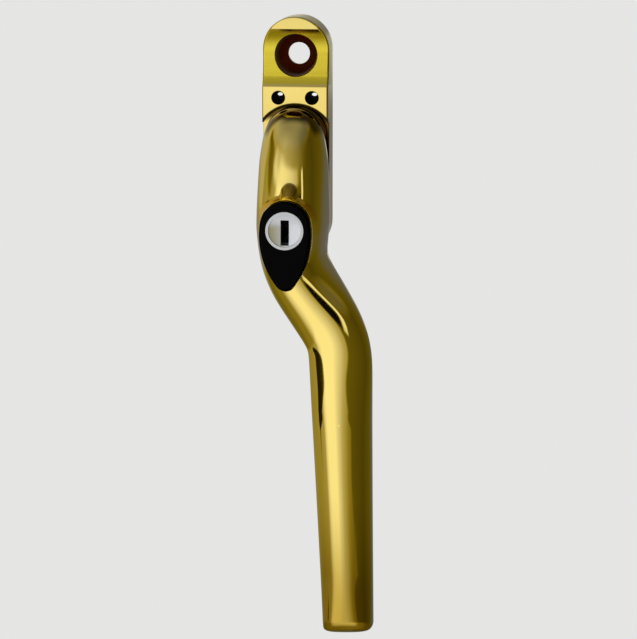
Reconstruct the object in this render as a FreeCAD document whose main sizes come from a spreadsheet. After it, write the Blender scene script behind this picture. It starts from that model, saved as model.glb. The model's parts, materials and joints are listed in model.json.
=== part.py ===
import FreeCAD, Part
import math
import os
import Sketcher
from FreeCAD import Vector

# Espagnolette window handle, millimetres. +Z is up, the front faces -Y and the back of the base lies on Y = 0.
# The origin is the spindle axis on the back face. A depth is a distance in front of the back face, so Y = -depth.

SIZES = [
    ("base_length", 63.6),
    ("base_width", 17.7),
    ("base_thickness", 11.5),
    ("base_draft_deg", 0.5),
    ("base_edge_radius", 0.5),
    ("plateau_edge_radius", 0.2),
    ("plateau_thickness", 8.5),
    ("scoop_foot", 13.35),
    ("scoop_depth", 2.6),
    ("scoop_margin", 3.35),
    ("lip_radius", 10.4),
    ("lip_apex", 8.3),
    ("lip_chamfer", 0.7),
    ("fixing_pitch", 43.0),
    ("fixing_radius", 2.9),
    ("fixing_land", 1.6),
    ("countersink_radius", 4.9),
    ("fixing_mouth_radius", 5.7),
    ("peg_radius", 1.8),
    ("peg_pitch", 8.9),
    ("peg_height", 10.45),
    ("peg_depth", 6.0),
    ("chamber_radius", 7.6),
    ("chamber_depth", 4.0),
    ("bush_radius", 7.2),
    ("running_gap", 0.05),
    ("journal_radius", 6.2),
    ("washer_thickness", 0.5),
    ("washer_radius", 7.6),
    ("boss_radius", 7.7),
    ("spindle_width", 7.0),
    ("spindle_projection", 30.0),
    ("spindle_socket_top", 18.0),
    ("spindle_nose", 1.0),
    ("spindle_fit", 0.02),
    ("spindle_pin_radius", 1.0),
    ("cam_half_width", 4.75),
    ("cam_corner_radius", 6.55),
    ("cam_thickness", 1.9),
    ("leaf_thickness", 0.6),
    ("leaf_length", 10.6),
    ("leaf_height", 1.8),
    ("clip_depth", 0.6),
    ("clip_thickness", 0.8),
    ("clip_bore_radius", 4.2),
    ("clip_radius", 6.2),
    ("clip_mouth", 6.0),
    ("disc_spring_sheet", 0.3),
    ("disc_spring_bore", 5.05),
    ("underside", 12.3),
    ("head_radius", 8.05),
    ("head_roundness", 2.2),
    ("shoulder_drop", 6.0),
    ("shoulder_half_width", 8.95),
    ("lock_drop", 21.5),
    ("lock_half_width", 9.4),
    ("elbow_half_width", 8.5),
    ("crank_half_width", 8.5),
    ("knee_half_width", 8.35),
    ("palm_half_width", 7.75),
    ("tip_half_width", 6.55),
    ("elbow_drop", 33.1),
    ("knee_offset", 14.0),
    ("knee_drop", 50.1),
    ("tip_offset", 16.35),
    ("tip_drop", 126.9),
    ("elbow_radius", 11.5),
    ("knee_radius", 10.5),
    ("pivot_front", 26.0),
    ("lock_front", 34.0),
    ("knee_front", 37.4),
    ("palm_front", 41.6),
    ("palm_drop", 76.0),
    ("tip_front", 41.0),
    ("heel_top", 30.0),
    ("heel_bottom", 53.0),
    ("grip_back", 29.5),
    ("hub_wall_share", 0.12),
    ("grip_wall_share", 0.3),
    ("pivot_fullness", 0.66),
    ("lock_fullness", 0.84),
    ("crank_fullness", 0.68),
    ("palm_fullness", 0.6),
    ("pivot_lean", 0.02),
    ("lock_lean", 0.09),
    ("crank_lean", 0.03),
    ("hub_back_radius", 0.4),
    ("grip_back_radius", 1.4),
    ("tip_side_radius", 0.8),
    ("tip_front_radius", 3.5),
    ("button_half_width", 6.6),
    ("button_tip_radius", 3.1),
    ("button_flank_radius", 22.0),
    ("button_top", 14.0),
    ("button_bottom", 37.2),
    ("button_back", 30.3),
    ("button_front", 35.4),
    ("button_travel", 2.8),
    ("button_gap", 0.12),
    ("button_edge_radius", 0.9),
    ("collar_wall", 0.9),
    ("collar_front", 33.2),
    ("collar_flare_deg", 4.0),
    ("collar_root", 22.0),
    ("barrel_radius", 4.9),
    ("barrel_rim", 0.7),
    ("barrel_back", 20.6),
    ("plug_face_radius", 4.15),
    ("plug_face_depth", 35.5),
    ("plug_face_thickness", 1.2),
    ("plug_radius", 3.5),
    ("dish_sag", 0.5),
    ("keyway_width", 1.85),
    ("keyway_height", 6.1),
    ("keyway_shift", 0.45),
    ("keyway_length", 12.0),
    ("key_mouth_width", 2.15),
    ("key_mouth_height", 6.5),
    ("key_mouth_shift", 0.6),
    ("key_mouth_depth", 1.0),
    ("wafer_count", 5),
    ("wafer_width", 3.4),
    ("wafer_height", 6.0),
    ("wafer_thickness", 0.7),
    ("wafer_pitch", 2.0),
    ("wafer_first", 31.6),
    ("wafer_gap", 0.05),
    ("carrier_thickness", 1.2),
    ("carrier_half_width", 4.3),
    ("plunger_radius", 1.9),
    ("plunger_drop", 13.0),
    ("plunger_tip", 9.2),
    ("plunger_hole_depth", 5.5),
    ("plunger_rivet_radius", 1.2),
    ("plunger_clearance", 0.15),
    ("lock_cam_radius", 2.5),
    ("lock_cam_reach", 4.2),
    ("lock_cam_width", 2.2),
    ("lock_cam_thickness", 1.0),
    ("lock_cam_clearance", 0.25),
    ("lock_cam_stem", 1.5),
    ("keeper_front", 16.5),
    ("keeper_thickness", 1.0),
    ("cap_plate_thickness", 1.0),
    ("pocket_half_width", 4.6),
    ("pocket_top", 10.0),
    ("pocket_bottom", 27.2),
    ("step_half_width", 5.4),
    ("step_top", 9.0),
    ("step_bottom", 28.0),
    ("spring_radius", 2.6),
    ("spring_wire", 0.5),
    ("spring_turns", 4),
]

doc = FreeCAD.newDocument("WindowHandle")
sheet = doc.addObject("Spreadsheet::Sheet", "Sizes")
for row, (alias, number) in enumerate(SIZES, start=1):
    sheet.set(f"A{row}", alias)
    sheet.set(f"B{row}", str(number))
    sheet.setAlias(f"B{row}", alias)
doc.recompute()

FRONTWARDS = FreeCAD.Rotation(Vector(1, 0, 0), 90)  # turns +Z to -Y
SIDEWAYS = FreeCAD.Rotation(Vector(0, 1, 0), 90)  # turns +Z to +X
parts = {}


def size(alias):
    return float(sheet.get(alias))


def linked(expression):
    """The expression with every size named by its cell."""
    words = {alias for alias, number in SIZES}
    out, word = "", ""
    for letter in expression + " ":
        if letter.isalnum() or letter == "_":
            word += letter
            continue
        out += ("Sizes." + word if word in words else word) + letter
        word = ""
    return out.strip()


def bind(thing, prop, expression):
    thing.setExpression(prop, linked(expression))


def rod(name, radius, start, end, drop="0", across="0"):
    """A cylinder along the depth, from one depth to another, below the spindle axis by drop."""
    thing = doc.addObject("Part::Cylinder", name)
    thing.Placement = FreeCAD.Placement(Vector(), FRONTWARDS)
    bind(thing, "Radius", radius)
    bind(thing, "Height", f"({end}) - ({start})")
    place(thing, across, start, drop)
    return thing


def taper(name, first, last, start, end, drop="0", across="0"):
    thing = doc.addObject("Part::Cone", name)
    thing.Placement = FreeCAD.Placement(Vector(), FRONTWARDS)
    bind(thing, "Radius1", first)
    bind(thing, "Radius2", last)
    bind(thing, "Height", f"({end}) - ({start})")
    place(thing, across, start, drop)
    return thing


def cross_rod(name, radius, half_length, depth, drop="0"):
    """A cylinder along X, centred on the middle plane."""
    thing = doc.addObject("Part::Cylinder", name)
    thing.Placement = FreeCAD.Placement(Vector(), SIDEWAYS)
    bind(thing, "Radius", radius)
    bind(thing, "Height", f"2 * ({half_length})")
    place(thing, f"-({half_length})", depth, drop)
    return thing


def block(name, half_width, start, end, top, bottom, across="0"):
    """A box centred on across, between two depths and between two drops below the spindle axis."""
    thing = doc.addObject("Part::Box", name)
    bind(thing, "Length", f"2 * ({half_width})")
    bind(thing, "Width", f"({end}) - ({start})")
    bind(thing, "Height", f"({bottom}) - ({top})")
    place(thing, f"({across}) - ({half_width})", end, bottom)
    return thing


def place(thing, across, depth, drop):
    bind(thing, "Placement.Base.x", across)
    bind(thing, "Placement.Base.y", f"-({depth})")
    bind(thing, "Placement.Base.z", f"-({drop})")


def fuse(name, shapes):
    thing = doc.addObject("Part::MultiFuse", name)
    thing.Shapes = shapes
    return thing


def cut(name, base, tools):
    thing = doc.addObject("Part::Cut", name)
    thing.Base = base
    thing.Tool = tools[0] if len(tools) == 1 else fuse(name + "_tools", tools)
    return thing


def common(name, shapes):
    thing = doc.addObject("Part::MultiCommon", name)
    thing.Shapes = shapes
    return thing


def keep(node, thing):
    thing.Label = node
    parts[node] = thing
    return thing


def plane(body, role):
    return next(f for f in body.Origin.OriginFeatures if f.Role == role)


def sketch_on(body, name, role, height="0"):
    sketch = body.newObject("Sketcher::SketchObject", name)
    sketch.AttachmentSupport = [(plane(body, role), "")]
    sketch.MapMode = "FlatFace"
    bind(sketch, "AttachmentOffset.Base.z", height)
    return sketch


def dimension(sketch, constraint, expression):
    index = sketch.addConstraint(constraint)
    bind(sketch, f"Constraints[{index}]", expression)


def pad(body, name, sketch, length):
    feature = body.newObject("PartDesign::Pad", name)
    feature.Profile = sketch
    bind(feature, "Length", length)
    return feature


def pocket(body, name, sketch, length):
    feature = body.newObject("PartDesign::Pocket", name)
    feature.Profile = sketch
    bind(feature, "Length", length)
    return feature


def stadium(sketch, half_width, half_length):
    """A long upright outline with round ends, named by its half width and half length."""
    w, l = 8.5, 32.0
    c = l - w
    sketch.addGeometry(Part.ArcOfCircle(Part.Circle(Vector(0, c, 0), Vector(0, 0, 1), w), 0, math.pi))
    sketch.addGeometry(Part.LineSegment(Vector(-w, c, 0), Vector(-w, -c, 0)))
    sketch.addGeometry(Part.ArcOfCircle(Part.Circle(Vector(0, -c, 0), Vector(0, 0, 1), w), math.pi, 2 * math.pi))
    sketch.addGeometry(Part.LineSegment(Vector(w, -c, 0), Vector(w, c, 0)))
    for first, a, second, b in ((0, 2, 1, 1), (1, 2, 2, 1), (2, 2, 3, 1), (3, 2, 0, 1)):
        sketch.addConstraint(Sketcher.Constraint("Tangent", first, a, second, b))
    sketch.addConstraint(Sketcher.Constraint("Vertical", 1))
    sketch.addConstraint(Sketcher.Constraint("PointOnObject", 0, 3, -2))
    sketch.addConstraint(Sketcher.Constraint("Symmetric", 0, 3, 2, 3, -1, 1))
    dimension(sketch, Sketcher.Constraint("Radius", 0, w), half_width)
    dimension(sketch, Sketcher.Constraint("DistanceY", -1, 1, 0, 3, c), f"{half_length} - ({half_width})")


def egg(sketch, grow):
    """The button's outline: a round top, two long flanks and a small round tip, grown all round by a margin."""
    margin = {"0": 0.0}.get(grow, 1.0)
    wide = size("button_half_width") + margin
    tip = size("button_tip_radius") + margin
    high = -(size("button_top") + size("button_half_width"))
    low = -(size("button_bottom") - size("button_tip_radius"))
    flank = size("button_flank_radius") + margin
    side = egg_flank_centre(high, low, flank - wide, flank - tip)
    start = math.atan2(high - side[1], -side[0])
    end = math.atan2(low - side[1], -side[0])
    centre = Vector(side[0], side[1], 0)
    mirror = Vector(-side[0], side[1], 0)
    up = Vector(0, 0, 1)
    sketch.addGeometry(Part.ArcOfCircle(Part.Circle(Vector(0, high, 0), up, wide), start, math.pi - start))
    sketch.addGeometry(Part.ArcOfCircle(Part.Circle(mirror, up, flank), math.pi - start, math.pi - end))
    sketch.addGeometry(Part.ArcOfCircle(Part.Circle(Vector(0, low, 0), up, tip), math.pi - end, 2 * math.pi + end))
    sketch.addGeometry(Part.ArcOfCircle(Part.Circle(centre, up, flank), end, start))
    for first, a, second, b in ((0, 2, 1, 1), (1, 2, 2, 1), (2, 2, 3, 1), (3, 2, 0, 1)):
        sketch.addConstraint(Sketcher.Constraint("Tangent", first, a, second, b))
    sketch.addConstraint(Sketcher.Constraint("PointOnObject", 0, 3, -2))
    sketch.addConstraint(Sketcher.Constraint("PointOnObject", 2, 3, -2))
    sketch.addConstraint(Sketcher.Constraint("Equal", 1, 3))
    dimension(sketch, Sketcher.Constraint("Radius", 0, wide), f"button_half_width + {grow}")
    dimension(sketch, Sketcher.Constraint("Radius", 2, tip), f"button_tip_radius + {grow}")
    dimension(sketch, Sketcher.Constraint("Radius", 1, flank), f"button_flank_radius + {grow}")
    dimension(sketch, Sketcher.Constraint("DistanceY", 0, 3, -1, 1, -high), "button_top + button_half_width")
    dimension(sketch, Sketcher.Constraint("DistanceY", 2, 3, -1, 1, -low), "button_bottom - button_tip_radius")


def egg_flank_centre(high, low, to_high, to_low):
    """Where a flank's centre lies: so far from the centres of the top arc and of the tip arc."""
    apart = high - low
    along = (apart**2 + to_high**2 - to_low**2) / (2 * apart)
    return -math.sqrt(to_high**2 - along**2), high - along


def egg_prism(name, grow, start, length):
    body = doc.addObject("PartDesign::Body", name)
    outline = sketch_on(body, name + "_outline", "XZ_Plane", start)
    egg(outline, grow)
    pad(body, name + "_pad", outline, length)
    return body


def pad_edges(shape):
    """Names of the outer edges of pad and scoop, and of the two creases above and below the scoop."""
    low, lip = size("plateau_thickness"), size("lip_apex")
    names = []
    for number, edge in enumerate(shape.Edges, start=1):
        box = edge.BoundBox
        ahead = box.YMax < -low - 1e-4
        under_lip = box.ZMax < lip + 1e-4 and box.ZMax - box.ZMin < lip - size("lip_chamfer")
        if ahead and not under_lip:
            names.append(f"Edge{number}")
    return names


def flat_edges(shape, depth, keep_edge):
    """Names of the edges that lie in the plane at this depth and that keep_edge accepts."""
    names = []
    for number, edge in enumerate(shape.Edges, start=1):
        box = edge.BoundBox
        if abs(box.YMin + depth) < 1e-4 and abs(box.YMax + depth) < 1e-4 and keep_edge(edge):
            names.append(f"Edge{number}")
    return names


def base_casting():
    body = doc.addObject("PartDesign::Body", "base_body")
    outline = sketch_on(body, "base_outline", "XZ_Plane")
    stadium(outline, "base_width / 2", "base_length / 2")
    block_pad = pad(body, "base_pad", outline, "base_thickness")
    bind(block_pad, "TaperAngle", "-base_draft_deg")

    scoop = sketch_on(body, "scoop_circle", "YZ_Plane")
    head = size("base_length") / 2 - size("scoop_margin")
    span = head - size("scoop_foot")
    wide = (span**2 / 4 + size("scoop_depth") ** 2) / (2 * size("scoop_depth"))
    ahead = size("base_thickness") - size("scoop_depth") + wide
    high = head - span / 2
    scoop.addGeometry(Part.Circle(Vector(-ahead, high, 0), Vector(0, 0, 1), wide))
    chord = "(base_length / 2 - scoop_margin - scoop_foot)"
    radius = f"({chord} ^ 2 / 4 + scoop_depth ^ 2) / (2 * scoop_depth)"
    dimension(scoop, Sketcher.Constraint("Radius", 0, wide), radius)
    dimension(scoop, Sketcher.Constraint("DistanceX", 0, 3, -1, 1, ahead), f"base_thickness - scoop_depth + {radius}")
    dimension(scoop, Sketcher.Constraint("DistanceY", -1, 1, 0, 3, high), f"scoop_foot + {chord} / 2")
    scooped = pocket(body, "scoop", scoop, "2 * base_width")
    scooped.Midplane = True

    plateau = sketch_on(body, "plateau_outline", "XZ_Plane", "base_thickness")
    lip_outline(plateau)
    lowered = pocket(body, "plateau", plateau, "base_thickness - plateau_thickness")
    doc.recompute()

    rim = body.newObject("PartDesign::Fillet", "base_rim")
    rim.Base = (lowered, pad_edges(lowered.Shape))
    bind(rim, "Radius", "base_edge_radius")
    doc.recompute()

    low_rim = body.newObject("PartDesign::Fillet", "plateau_rim")
    low_rim.Base = (rim, flat_edges(rim.Shape, size("plateau_thickness"), lambda edge: edge.BoundBox.ZMin < 0))
    bind(low_rim, "Radius", "plateau_edge_radius")

    holes = [
        taper("lip", "lip_radius", "lip_radius + lip_chamfer + 1", "base_thickness - lip_chamfer",
              "base_thickness + 1", "lip_radius - lip_apex"),
        rod("top_fixing", "fixing_radius", "-1", "base_thickness", "-fixing_pitch / 2"),
        taper("top_countersink", "fixing_radius", "countersink_radius", "fixing_land",
              "fixing_land + countersink_radius - fixing_radius", "-fixing_pitch / 2"),
        taper("top_mouth", "countersink_radius", "fixing_mouth_radius",
              "fixing_land + countersink_radius - fixing_radius", "base_thickness - scoop_depth", "-fixing_pitch / 2"),
        rod("top_clear", "fixing_mouth_radius", "base_thickness - scoop_depth", "base_thickness + 1",
            "-fixing_pitch / 2"),
        rod("low_fixing", "fixing_radius", "-1", "base_thickness", "fixing_pitch / 2"),
        taper("low_countersink", "fixing_radius", "countersink_radius", "fixing_land",
              "fixing_land + countersink_radius - fixing_radius", "fixing_pitch / 2"),
        rod("low_clear", "countersink_radius", "fixing_land + countersink_radius - fixing_radius",
            "base_thickness", "fixing_pitch / 2"),
        rod("left_peg_hole", "peg_radius", "base_thickness - peg_depth", "base_thickness + 1", "-peg_height",
            "-peg_pitch / 2"),
        rod("right_peg_hole", "peg_radius", "base_thickness - peg_depth", "base_thickness + 1", "-peg_height",
            "peg_pitch / 2"),
        rod("bush_seat", "bush_radius", "chamber_depth - 0.5", "base_thickness"),
        rod("index_chamber", "chamber_radius", "-1", "chamber_depth"),
        rod("plunger_hole", "plunger_radius + plunger_clearance", "plateau_thickness - plunger_hole_depth",
            "base_thickness", "plunger_drop"),
    ]
    keep("base_casting", cut("base_cut", body, holes))


def lip_outline(sketch):
    """What is lowered below the pad: everything under the arc round the lever's head and its two shoulders."""
    reach, floor = 12.0, -40.0
    radius, apex, half = size("lip_radius"), size("lip_apex"), size("base_width") / 2 - 0.35
    middle = apex - radius
    shoulder = middle + math.sqrt(radius**2 - half**2)
    angle = math.acos(half / radius)
    corners = [Vector(half, shoulder, 0), Vector(reach, shoulder, 0), Vector(reach, floor, 0),
               Vector(-reach, floor, 0), Vector(-reach, shoulder, 0), Vector(-half, shoulder, 0)]
    circle = Part.Circle(Vector(0, middle, 0), Vector(0, 0, 1), radius)
    sketch.addGeometry(Part.ArcOfCircle(circle, angle, math.pi - angle))
    for first, second in zip(corners, corners[1:]):
        sketch.addGeometry(Part.LineSegment(first, second))
    sketch.addConstraint(Sketcher.Constraint("Coincident", 0, 1, 1, 1))
    for line in range(1, 5):
        sketch.addConstraint(Sketcher.Constraint("Coincident", line, 2, line + 1, 1))
    sketch.addConstraint(Sketcher.Constraint("Coincident", 5, 2, 0, 2))
    for line, direction in ((1, "Horizontal"), (2, "Vertical"), (3, "Horizontal"), (4, "Vertical"),
                            (5, "Horizontal")):
        sketch.addConstraint(Sketcher.Constraint(direction, line))
    sketch.addConstraint(Sketcher.Constraint("PointOnObject", 0, 3, -2))
    sketch.addConstraint(Sketcher.Constraint("Symmetric", 2, 1, 4, 2, -2))
    dimension(sketch, Sketcher.Constraint("Radius", 0, radius), "lip_radius")
    dimension(sketch, Sketcher.Constraint("DistanceY", 0, 3, -1, 1, -middle), "lip_radius - lip_apex")
    dimension(sketch, Sketcher.Constraint("DistanceX", -1, 1, 0, 1, half), "base_width / 2 - 0.35")
    dimension(sketch, Sketcher.Constraint("DistanceX", -1, 1, 1, 2, reach), "base_width")
    dimension(sketch, Sketcher.Constraint("DistanceY", 2, 2, -1, 1, -floor), "base_length")


def heading(a, b):
    """Angle of a run from straight down, positive to the right."""
    return math.atan2(b[0] - a[0], a[1] - b[1])


def spine():
    """The lever's middle line in the front view as runs of (length, x, z, heading, curvature)."""
    corners = [(0.0, 0.0), (0.0, -size("elbow_drop")), (size("knee_offset"), -size("knee_drop")),
               (size("tip_offset"), -size("tip_drop"))]
    radii = [0.0, size("elbow_radius"), size("knee_radius"), 0.0]
    runs = []
    x, z = corners[0]
    for index in (1, 2, 3):
        angle = heading(corners[index - 1], corners[index])
        turn = heading(corners[index], corners[index + 1]) - angle if index < 3 else 0.0
        back = radii[index] * math.tan(abs(turn) / 2)
        length = math.dist((x, z), corners[index]) - back
        runs.append((length, x, z, angle, 0.0))
        x, z = x + length * math.sin(angle), z - length * math.cos(angle)
        if turn:
            curvature = math.copysign(1 / radii[index], turn)
            runs.append((abs(turn) * radii[index], x, z, angle, curvature))
            x, z = along_run(runs[-1], abs(turn) * radii[index])[:2]
    return runs


def along_run(run, distance):
    """Point and heading at a distance from the start of one run."""
    length, x, z, angle, curvature = run
    if not curvature:
        return x + distance * math.sin(angle), z - distance * math.cos(angle), angle
    now = angle + distance * curvature
    x += (math.cos(angle) - math.cos(now)) / curvature
    z += (math.sin(angle) - math.sin(now)) / curvature
    return x, z, now


def along_spine(runs, distance):
    for run in runs:
        if distance <= run[0] or run is runs[-1]:
            return along_run(run, distance)
        distance -= run[0]


def through(at, stations):
    """A value at a distance along the lever, running smoothly through its stations without overshoot."""
    steps = [(second[1] - first[1]) / (second[0] - first[0]) for first, second in zip(stations, stations[1:])]
    tilts = [0.0]
    for before, after in zip(steps, steps[1:]):
        tilts.append(2 * before * after / (before + after) if before * after > 0 else 0.0)
    tilts.append(1.5 * steps[-1] - 0.5 * tilts[-1])
    tilts[0] = 1.5 * steps[0] - 0.5 * tilts[1]
    index = max(i for i in range(len(steps)) if i == 0 or at >= stations[i][0])
    (first, low), (last, high) = stations[index], stations[index + 1]
    span = last - first
    t = (at - first) / span
    if t < 0:
        return low + tilts[0] * (at - first)
    ease = t * t * (3 - 2 * t)
    return (low + (high - low) * ease + span * tilts[index] * t * (1 - t) ** 2
            - span * tilts[index + 1] * t * t * (1 - t))


def eased(at, start, end):
    """0 before the start, 1 after the end and a smooth rise between."""
    t = min(max((at - start) / (end - start), 0.0), 1.0)
    return t * t * (3 - 2 * t)


def quarter_inset(radius, distance):
    """How far a rounding of this radius has drawn in, at a distance from the end it leads to."""
    missing = max(radius - distance, 0.0)
    return radius - math.sqrt(radius**2 - missing**2)


def lever_section(runs, at):
    """Poles of one section: two halves of the crown, then wall, corner, back, corner, wall."""
    length = sum(run[0] for run in runs)
    knee = sum(run[0] for run in runs[:3]) + runs[3][0] / 2
    crank = runs[0][0] + runs[1][0] + runs[2][0] / 2
    elbow = runs[0][0] + runs[1][0] / 2
    fronts = [(0, size("pivot_front")), (size("lock_drop"), size("lock_front")), (knee, size("knee_front")),
              (size("palm_drop"), size("palm_front")), (length, size("tip_front"))]
    halves = [(0, size("head_radius")), (size("shoulder_drop"), size("shoulder_half_width")),
              (size("lock_drop"), size("lock_half_width")), (elbow, size("elbow_half_width")),
              (crank, size("crank_half_width")),
              (knee, size("knee_half_width")), (size("palm_drop"), size("palm_half_width")),
              (length, size("tip_half_width"))]
    x, z, angle = along_spine(runs, max(at, 0.0))
    z -= min(at, 0.0)
    grip = eased(-z, size("heel_top"), size("heel_bottom"))
    front = through(at, fronts)
    half = through(max(at, 0.0), halves)
    back = size("underside") + (size("grip_back") - size("underside")) * grip
    wall = size("hub_wall_share") + (size("grip_wall_share") - size("hub_wall_share")) * grip
    waist = back + wall * (front - back)
    fullness = through(max(at, 0.0), [(0, size("pivot_fullness")), (size("lock_drop"), size("lock_fullness")),
                                      (crank, size("crank_fullness")), (length, size("palm_fullness"))])
    lean = through(max(at, 0.0), [(0, size("pivot_lean")), (size("lock_drop"), size("lock_lean")),
                                  (crank, size("crank_lean")), (length, size("pivot_lean"))])
    corner = size("hub_back_radius") + (size("grip_back_radius") - size("hub_back_radius")) * grip
    if at < 0:
        share = -at / size("head_radius")
        half *= math.sqrt(1 - share**2)
        waist = size("underside") + size("hub_wall_share") * (size("pivot_front") - size("underside"))
        front = waist + (front - waist) * (1 - share ** size("head_roundness")) ** (1 / size("head_roundness"))
        corner = min(corner, half / 3)
    left = length - at
    half -= quarter_inset(size("tip_side_radius"), left)
    front -= quarter_inset(size("tip_front_radius"), left)
    back += quarter_inset(size("tip_side_radius"), left)
    waist = min(max(waist, back + corner + 0.2), front - 0.5)
    return section_poles(Vector(x, 0, z), angle, half, waist, front, back, fullness, lean, corner)


def section_poles(middle, angle, half, waist, front, back, fullness, lean, corner):
    across = Vector(math.cos(angle), 0, math.sin(angle))

    def at(side, depth):
        return middle + across * side - Vector(0, depth, 0)

    rise = front - waist
    soft = corner * 0.4477
    brow = (half * (1 - lean), waist + fullness * rise)
    right = [(half, waist), brow, (fullness * half, front), (0, front)]
    side = [(half, back + corner), (half, waist)]
    round_edge = [(half - corner, back), (half - soft, back), (half, back + soft), (half, back + corner)]
    outline = [right, side, round_edge]
    mirrored = [[(-x, depth) for x, depth in reversed(span)] for span in outline]
    floor = [(corner - half, back), (half - corner, back)]
    return [[at(x, depth) for x, depth in span] for span in outline + mirrored + [floor]]


def lever_stations(runs):
    """Distances along the lever where its sections stand, closer together in the head, the bends and the tip."""
    radius, length = size("head_radius"), sum(run[0] for run in runs)
    head = [-radius * math.sin(math.radians(angle)) for angle in (84, 77, 67, 54, 38, 20)]
    elbow, crank, knee, grip = (sum(run[0] for run in runs[:count]) for count in (1, 2, 3, 4))
    hub = [0.0, 3.0, size("shoulder_drop"), 11.0, 16.0, size("lock_drop")]
    bends = [elbow, (2 * elbow + crank) / 3, (elbow + 2 * crank) / 3, crank, (crank + knee) / 2, knee,
             (2 * knee + grip) / 3, (knee + 2 * grip) / 3, grip]
    palm = [grip + (length - grip) * share for share in (0.08, 0.2, 0.4, 0.6, 0.8)]
    tip = size("tip_front_radius")
    return head + hub + bends + palm + [length - tip * share for share in (1.6, 1.0, 0.7, 0.42, 0.2, 0.06, 0)]


def skin(sections):
    """A solid whose surface runs smoothly through matching sections, closed by a flat face at each end."""
    places = [0.0]
    for first, second in zip(sections, sections[1:]):
        steps = [(b - a).Length for one, two in zip(first, second) for a, b in zip(one, two)]
        places.append(places[-1] + sum(steps) / len(steps))
    faces = []
    for span in range(len(sections[0])):
        rows = []
        for pole in range(len(sections[0][span])):
            curve = Part.BSplineCurve()
            curve.interpolate(Points=[section[span][pole] for section in sections], Parameters=places)
            rows.append(curve)
        order = len(rows)
        surface = Part.BSplineSurface()
        surface.buildFromPolesMultsKnots([row.getPoles() for row in rows], [order, order],
                                         rows[0].getMultiplicities(), [0.0, 1.0], rows[0].getKnots(),
                                         False, False, order - 1, rows[0].Degree)
        faces.append(surface.toShape())
    for section in (sections[0], sections[-1]):
        edges = []
        for span in section:
            bezier = Part.BezierCurve()
            bezier.setPoles(span)
            edges.append(bezier.toShape())
        faces.append(Part.Face(Part.Wire(Part.__sortEdges__(edges))))
    shell = Part.makeShell(faces)
    shell.sewShape()
    solid = Part.makeSolid(shell)
    if solid.Volume < 0:
        solid.reverse()
    return solid


def lever_casting():
    blank = doc.addObject("Part::Feature", "lever_blank")
    runs = spine()
    blank.Shape = skin([lever_section(runs, at) for at in lever_stations(runs)])
    collar = egg_prism("collar", "button_gap + collar_wall", "collar_front", "collar_front - collar_root")
    collar.Tip.Reversed = True
    bind(collar.Tip, "TaperAngle", "collar_flare_deg")
    solid = fuse("lever_solid", [
        blank,
        collar,
        rod("lever_boss", "boss_radius", "plateau_thickness + washer_thickness", "underside + 1"),
        rod("lever_journal", "journal_radius", "chamber_depth + 0.1", "underside"),
    ])
    fit = "spindle_width / 2 + spindle_fit"
    lock_tail = "barrel_back + running_gap"
    tools = [
        block("spindle_socket", fit, "0", "spindle_socket_top + spindle_fit", f"-({fit})", fit),
        cross_rod("spindle_pin_hole", "spindle_pin_radius", "boss_radius + 1", pin_depth),
        egg_prism("button_pocket", "button_gap", "button_back - button_travel - 0.3", "collar_front"),
        rod("barrel_bore", "barrel_radius + running_gap", "keeper_front", "button_front", "lock_drop"),
        block("lock_pocket", "pocket_half_width", "underside - 1", lock_tail, "pocket_top", "pocket_bottom"),
        block("lock_step", "step_half_width", "underside - 1", "keeper_front", "step_top", "step_bottom"),
    ]
    keep("lever_casting", cut("lever_cut", solid, tools))


pin_depth = "(plateau_thickness + washer_thickness + underside) / 2"


def spindle_set():
    half = "spindle_width / 2"
    bar = block("spindle_bar", half, "-spindle_projection", "spindle_socket_top", f"-({half})", half)
    point = "(spindle_width / sqrt(2) - spindle_nose)"
    length = "(spindle_projection + spindle_socket_top)"
    nose = taper("spindle_nose_cone", point, f"{point} + {length}", "-spindle_projection", "spindle_socket_top")
    groove = cut("clip_groove", rod("groove_outer", "spindle_width", "clip_depth", "clip_depth + clip_thickness"),
                 [rod("groove_inner", "clip_bore_radius", "clip_depth - 1", "clip_depth + clip_thickness + 1")])
    pin_hole = cross_rod("spindle_cross_hole", "spindle_pin_radius", "spindle_width", pin_depth)
    keep("spindle", cut("spindle_cut", common("spindle_pointed", [bar, nose]), [groove, pin_hole]))
    keep("spindle_pin", cross_rod("cross_pin", "spindle_pin_radius", "boss_radius - 0.2", pin_depth))


def index_set():
    top = "chamber_depth - running_gap"
    cam_start = f"{top} - cam_thickness"
    half = "cam_half_width"
    hole = "spindle_width / 2 + spindle_fit"
    square = block("cam_square", half, cam_start, top, f"-({half})", half)
    round_blank = rod("cam_round", "cam_corner_radius", cam_start, top)
    keep("index_cam", cut("cam_cut", common("cam_blank", [square, round_blank]), [
        block("cam_hole", hole, f"{cam_start} - 1", f"{top} + 1", f"-({hole})", hole)]))
    for node, side in (("index_spring_left", "-"), ("index_spring_right", "")):
        keep(node, block(node + "_leaf", "leaf_thickness / 2", "chamber_depth - leaf_height", "chamber_depth",
                         "-leaf_length / 2", "leaf_length / 2",
                         f"{side}(cam_half_width + leaf_thickness / 2)"))


def washers():
    keep("bearing_bush", cut("bush_cut", rod("bush_outer", "bush_radius", "chamber_depth", "plateau_thickness"),
         [rod("bush_inner", "journal_radius + running_gap", "0", "base_thickness")]))
    keep("thrust_washer", cut("washer_cut", rod("washer_outer", "washer_radius", "plateau_thickness",
         "plateau_thickness + washer_thickness"),
         [rod("washer_inner", "journal_radius + 2 * running_gap", "0", "base_thickness")]))
    keep("disc_spring", dished_washer())
    low = "clip_depth + clip_thickness"
    ring = cut("clip_ring", rod("clip_outer", "clip_radius", "clip_depth", low),
               [rod("clip_inner", "clip_bore_radius", "0", "chamber_depth")])
    keep("retaining_circlip", cut("clip_cut", ring, [
        block("clip_opening", "clip_mouth / 2", "0", "chamber_depth", "0", "clip_radius + 1")]))


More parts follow.
